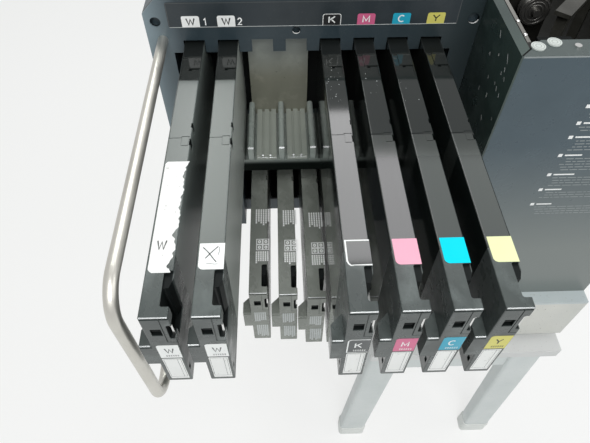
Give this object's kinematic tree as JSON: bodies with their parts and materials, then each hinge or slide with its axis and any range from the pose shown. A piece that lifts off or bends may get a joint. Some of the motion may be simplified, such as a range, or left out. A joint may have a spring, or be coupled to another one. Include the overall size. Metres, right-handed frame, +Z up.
{
  "type": "ink cartridge station of a garment printer",
  "caption": "Ink cartridge station of a garment printer: long slim cartridges in a castellated panel, beside the end of the printer body, on a white stand.",
  "frame": {"origin": "centre of the bounding box, on the floor under the stand", "axes": "+Z up; +Y from the cartridges' front ends into the machine; +X from the cartridge station towards the printer body"},
  "size_m": [0.7525, 0.8745, 1.2404],
  "materials": {
    "slate_paint": "satin slate blue powder coat",
    "label_film": "printed film",
    "cartridge_plastic": "satin dark grey moulding",
    "cradle_plastic": "matt dark grey",
    "insert_plastic": "matt grey moulding",
    "receiver_plastic": "matt black",
    "plate_metal": "plated sheet",
    "spring_steel": "bright spring steel",
    "stainless_steel": "polished tube",
    "dark_paint": "worn dark paint",
    "cover_paint": "slate grey paint",
    "chassis_paint": "black",
    "bright_aluminium": "machined",
    "ledge_paint": "light blue grey paint",
    "cream_paint": "cream paint",
    "foot_rubber": "matt black",
    "white_plastic": "white",
    "white_board": "white faced board",
    "white_paint": "white paint"
  },
  "bodies": {
    "root": {"base_cover": "cream_paint", "base_ledge": "ledge_paint", "body_chassis": "chassis_paint", "body_closing_panel": "cover_paint", "body_front_cover": "cover_paint", "body_side_wall": "dark_paint", "body_top_rim": "dark_paint", "carriage_bar": "bright_aluminium", "cartridge_black_case": "cartridge_plastic", "cartridge_black_front": "cartridge_plastic", "cartridge_cradle": "cradle_plastic", "cartridge_cyan_case": "cartridge_plastic", "cartridge_cyan_front": "cartridge_plastic", "cartridge_magenta_case": "cartridge_plastic", "cartridge_magenta_front": "cartridge_plastic", "cartridge_receivers": "receiver_plastic", "cartridge_springs": "spring_steel", "cartridge_white_1_case": "cartridge_plastic", "cartridge_white_1_front": "cartridge_plastic", "cartridge_white_2_case": "cartridge_plastic", "cartridge_white_2_front": "cartridge_plastic", "cartridge_yellow_case": "cartridge_plastic", "cartridge_yellow_front": "cartridge_plastic", "drive_pulley": "bright_aluminium", "guard_bar": "stainless_steel", "inner_strip": "bright_aluminium", "lower_cartridge_1": "cartridge_plastic", "lower_cartridge_2": "cartridge_plastic", "lower_cartridge_3": "cartridge_plastic", "lower_cartridge_4": "cartridge_plastic", "lower_rack": "cradle_plastic", "machine_feet": "foot_rubber", "mechanism_blocks": "receiver_plastic", "pulley_bracket": "chassis_paint", "rim_caps": "white_plastic", "rim_screw": "spring_steel", "slot_blanking_plate": "plate_metal", "slot_inserts": "insert_plastic", "stand_foot_caps": "white_plastic", "stand_frame": "white_paint", "stand_top": "white_board", "station_front_panel": "slate_paint", "station_housing": "slate_paint", "station_label": "label_film"}
  },
  "joints": []
}
